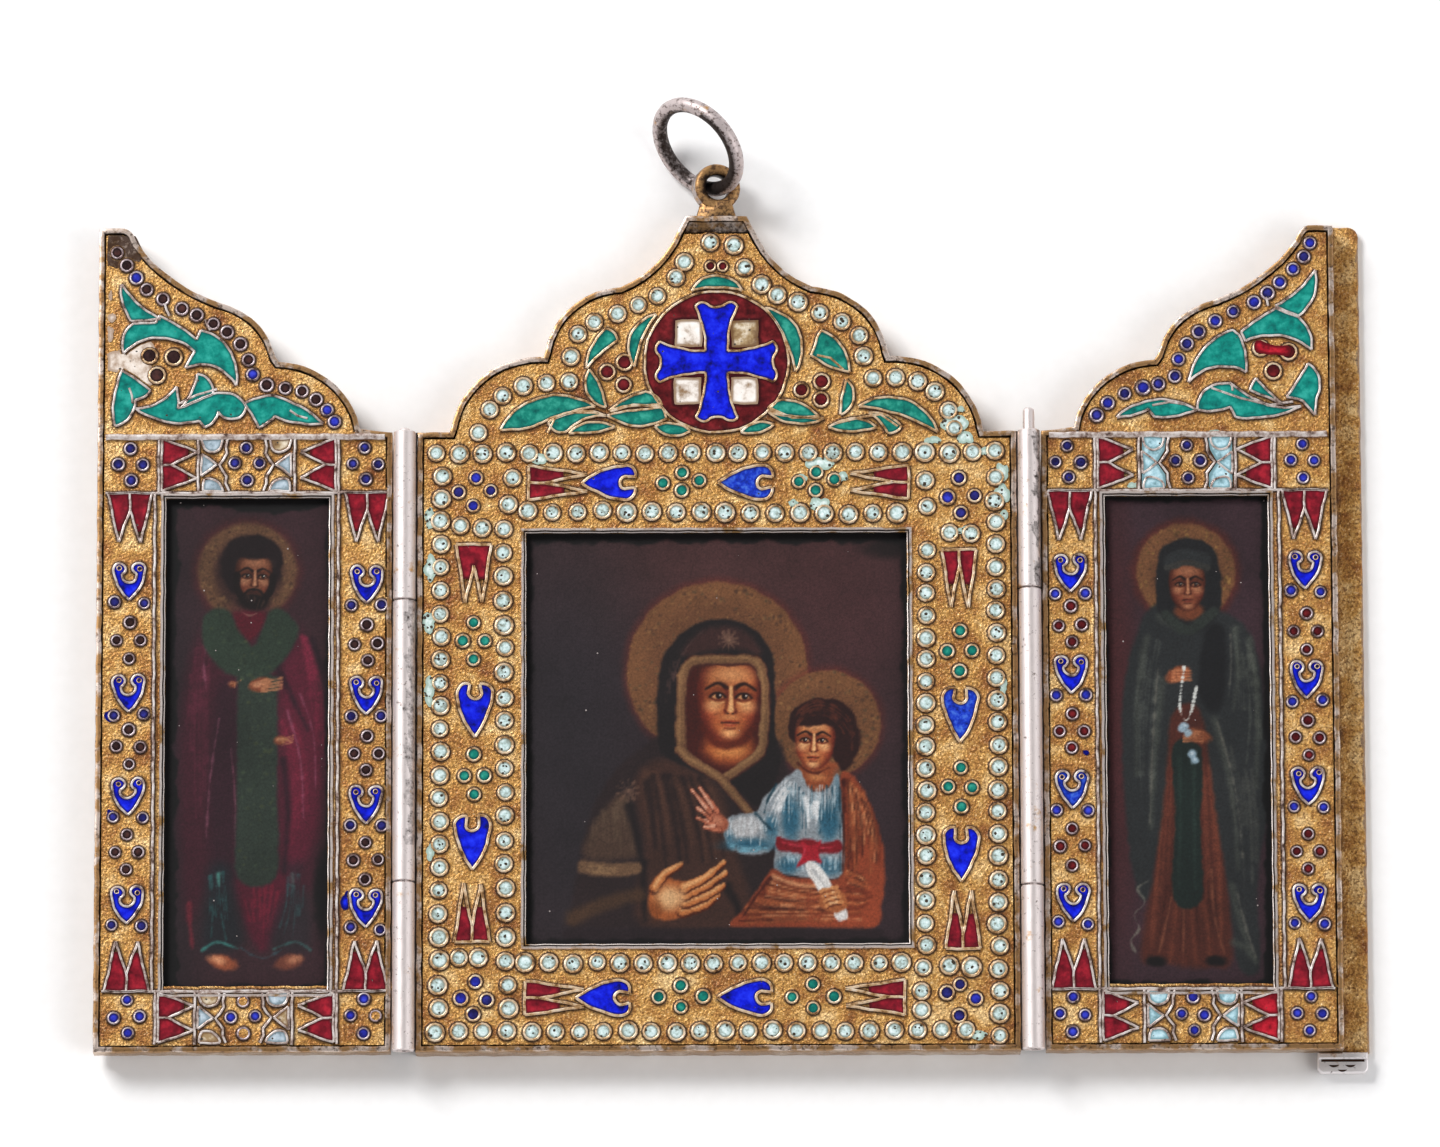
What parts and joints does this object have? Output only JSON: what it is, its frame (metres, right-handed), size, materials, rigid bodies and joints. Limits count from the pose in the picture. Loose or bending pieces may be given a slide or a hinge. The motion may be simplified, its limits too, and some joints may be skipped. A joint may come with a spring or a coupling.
{
  "type": "triptych altarpiece",
  "caption": "Small travelling triptych of silver trays with enamelled fronts around painted panels, hinged wings, ring at the top, lying open on its back.",
  "frame": {"origin": "on the back face of the centre leaf, at the middle of its straight part", "axes": "+X across the open leaves towards the right wing, +Y along the leaves towards the ring, +Z out of the front faces; the triptych lies open on its back"},
  "size_m": [0.1062, 0.0824, 0.0082],
  "materials": {
    "silver": "worn silver with traces of gilding and tarnish",
    "gilding": "worn gilding over silver",
    "enamelled_plate": "gilded ground with raised wires and glossy enamel cells",
    "painted_panel": "dark painted panel under aged varnish"
  },
  "bodies": {
    "centre_leaf": {"centre_tray": "silver", "centre_plate": "enamelled_plate", "centre_painting": "painted_panel", "suspension_eye": "gilding", "suspension_ring": "silver", "left_hinge_knuckle_top": "silver", "left_hinge_knuckle_bottom": "silver", "left_hinge_pin": "silver", "right_hinge_knuckle_top": "silver", "right_hinge_knuckle_bottom": "silver", "right_hinge_pin": "silver"},
    "left_wing": {"left_tray": "silver", "left_plate": "enamelled_plate", "left_painting": "painted_panel", "left_hinge_knuckle_middle": "silver"},
    "right_wing": {"right_tray": "silver", "right_plate": "enamelled_plate", "right_painting": "painted_panel", "right_hinge_knuckle_middle": "silver", "closing_strip": "gilding", "thumb_tab": "silver"}
  },
  "joints": [
    {"name": "left_wing_hinge", "type": "hinge", "parent": "centre_leaf", "child": "left_wing", "pos_m": [-0.0262, 0, 0.00355], "axis": [0, 1, 0], "range_deg": [0, 180]},
    {"name": "right_wing_hinge", "type": "hinge", "parent": "centre_leaf", "child": "right_wing", "pos_m": [0.0262, 0, 0.00355], "axis": [0, -1, 0], "range_deg": [0, 180]}
  ]
}
